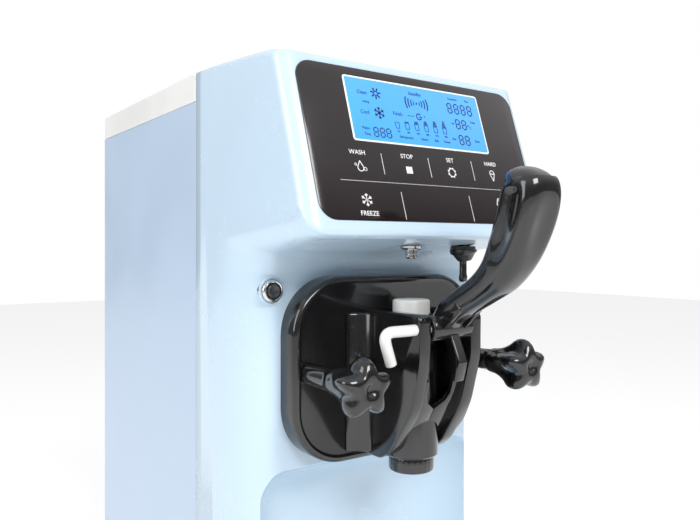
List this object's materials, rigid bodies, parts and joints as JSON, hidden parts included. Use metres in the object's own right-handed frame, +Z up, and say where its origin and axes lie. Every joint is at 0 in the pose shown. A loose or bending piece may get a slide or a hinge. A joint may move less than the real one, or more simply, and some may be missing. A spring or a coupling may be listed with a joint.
{
  "type": "ice cream maker",
  "caption": "Countertop soft serve machine with a sloping display console, black dispensing head with draw handle and star knobs, hopper and drip tray.",
  "frame": {"origin": "on the floor under the middle of the overall box", "axes": "+Z up, front towards -Y, +X to the right of a person facing the front"},
  "size_m": [0.24, 0.5524, 0.6498],
  "materials": {
    "pale_moulding": "moulded, light gloss",
    "painted_sheet": "powder coat",
    "white_moulding": "satin",
    "zinc_sheet": "zinc plated",
    "foot_rubber": "matt",
    "panel_black": "gloss printed film",
    "display_blue": "backlit",
    "board_green": "solder resist",
    "button_metal": "bright plated",
    "button_dark": "satin",
    "sensor_metal": "polished",
    "switch_rubber": "shiny rubber",
    "black_moulding": "high gloss",
    "valve_white": "satin",
    "seal_red": "silicone",
    "seal_clear": "silicone",
    "seal_black": "nitrile",
    "stainless": "brushed",
    "tube_plastic": "satin",
    "tube_blue": "satin",
    "copper": "copper tube",
    "foam": "rigid foam",
    "cast_alloy": "cast",
    "motor_paint": "black enamel",
    "belt_rubber": "matt",
    "fin_pack": "fins",
    "dark_plastic": "satin",
    "fan_motor_steel": "plain",
    "fan_plastic": "satin",
    "rocker_red": "gloss"
  },
  "bodies": {
    "machine": {"front_shell": "pale_moulding", "side_panel_left": "painted_sheet", "side_panel_right": "painted_sheet", "rear_panel": "painted_sheet", "top_cover": "white_moulding", "base_pan": "zinc_sheet", "inner_frame": "zinc_sheet", "foot_front_left": "foot_rubber", "foot_front_right": "foot_rubber", "foot_rear_left": "foot_rubber", "foot_rear_right": "foot_rubber", "touch_panel": "panel_black", "display_screen": "display_blue", "control_board": "board_green", "button_bezel": "button_metal", "draw_sensor": "sensor_metal", "switch_boot": "switch_rubber", "dispensing_head": "black_moulding", "head_seal": "seal_red", "shaft_seal": "seal_black", "hopper": "stainless", "freezing_cylinder": "stainless", "mount_plate": "stainless", "stud_left": "stainless", "stud_right": "stainless", "air_tube_outer": "tube_plastic", "evaporator_coil": "copper", "suction_line": "copper", "discharge_line": "copper", "liquid_line": "copper", "insulation_jacket": "foam", "gearbox": "cast_alloy", "drive_motor": "motor_paint", "compressor": "motor_paint", "drive_belt": "belt_rubber", "condenser": "fin_pack", "fan_shroud": "dark_plastic", "mains_inlet": "dark_plastic", "switch_housing": "dark_plastic", "fan_motor": "fan_motor_steel"},
    "handle": {"draw_handle": "black_moulding"},
    "plunger": {"valve_plunger": "valve_white", "plunger_ring_lower": "seal_red", "plunger_ring_upper": "seal_red"},
    "pin": {"handle_pin": "valve_white"},
    "left_knob": {"knob_left": "black_moulding"},
    "right_knob": {"knob_right": "black_moulding"},
    "button": {"button_cap": "button_dark"},
    "stalk": {"switch_stalk": "black_moulding"},
    "nozzle": {"nozzle_cap": "black_moulding"},
    "lid": {"hopper_lid": "white_moulding", "lid_seal": "seal_clear"},
    "mix_tube": {"air_tube_inner": "tube_blue"},
    "beater": {"beater": "valve_white"},
    "gear_pulley": {"reducer_pulley": "cast_alloy"},
    "motor_drive_pulley": {"motor_pulley": "cast_alloy"},
    "fan_wheel": {"fan": "fan_plastic"},
    "rocker": {"power_rocker": "rocker_red"},
    "tray": {"drip_tray": "dark_plastic"},
    "grid": {"drip_grid": "stainless"}
  },
  "joints": [
    {"name": "handle_pull", "type": "hinge", "parent": "machine", "child": "handle", "pos_m": [0, -0.1788, 0.4278], "axis": [1, 0, 0], "range_deg": [0, 40]},
    {"name": "plunger_lift", "type": "slide", "parent": "machine", "child": "plunger", "axis": [0, 0, 1], "range_m": [0, 0.0199]},
    {"name": "pin_turn", "type": "hinge", "parent": "machine", "child": "pin", "pos_m": [0, -0.1788, 0.4278], "axis": [1, 0, 0], "range_deg": [-90, 90]},
    {"name": "left_knob_turn", "type": "hinge", "parent": "machine", "child": "left_knob", "pos_m": [-0.08, -0.1438, 0.392], "axis": [0, 1, 0], "continuous": true},
    {"name": "right_knob_turn", "type": "hinge", "parent": "machine", "child": "right_knob", "pos_m": [0.08, -0.1438, 0.392], "axis": [0, 1, 0], "continuous": true},
    {"name": "button_press", "type": "slide", "parent": "machine", "child": "button", "axis": [0, 1, 0], "range_m": [0, 0.002], "stiffness_N_per_m": 400},
    {"name": "stalk_tilt", "type": "hinge", "parent": "machine", "child": "stalk", "pos_m": [0.057, -0.1378, 0.48859], "axis": [1, 0, 0], "range_deg": [-3, 3], "stiffness_Nm_per_rad": 0.05},
    {"name": "nozzle_turn", "type": "hinge", "parent": "machine", "child": "nozzle", "pos_m": [0, -0.1378, 0.3118], "axis": [0, 0, 1], "range_deg": [0, 60]},
    {"name": "lid_lift", "type": "slide", "parent": "machine", "child": "lid", "axis": [0, 0, 1], "range_m": [0, 0.08]},
    {"name": "mix_tube_turn", "type": "hinge", "parent": "machine", "child": "mix_tube", "pos_m": [0, 0.0842, 0.5115], "axis": [0, 0, 1], "range_deg": [0, 90]},
    {"name": "beater_spin", "type": "hinge", "parent": "machine", "child": "beater", "pos_m": [0, 0.0962, 0.392], "axis": [0, 1, 0], "continuous": true},
    {"name": "gear_pulley_spin", "type": "hinge", "parent": "machine", "child": "gear_pulley", "pos_m": [0, 0.1642, 0.392], "axis": [0, 1, 0], "continuous": true},
    {"name": "motor_pulley_spin", "type": "hinge", "parent": "machine", "child": "motor_drive_pulley", "pos_m": [0, 0.1642, 0.286], "axis": [0, 1, 0], "continuous": true},
    {"name": "fan_spin", "type": "hinge", "parent": "machine", "child": "fan_wheel", "pos_m": [0, 0.2209, 0.142], "axis": [0, 1, 0], "continuous": true},
    {"name": "rocker_tip", "type": "hinge", "parent": "machine", "child": "rocker", "pos_m": [0.035, 0.2722, 0.266], "axis": [1, 0, 0], "range_deg": [-6, 6]},
    {"name": "tray_lift", "type": "slide", "parent": "machine", "child": "tray", "axis": [0, 0, 1], "range_m": [0, 0.05]},
    {"name": "grid_lift", "type": "slide", "parent": "tray", "child": "grid", "axis": [0, 0, 1], "range_m": [0, 0.03]}
  ],
  "couplings": [
    {"joint": "plunger_lift", "follows": "handle_pull", "m_per_rad": 0.02841},
    {"joint": "beater_spin", "follows": "gear_pulley_spin", "ratio": 0.1},
    {"joint": "motor_pulley_spin", "follows": "gear_pulley_spin", "ratio": 2.6667}
  ]
}
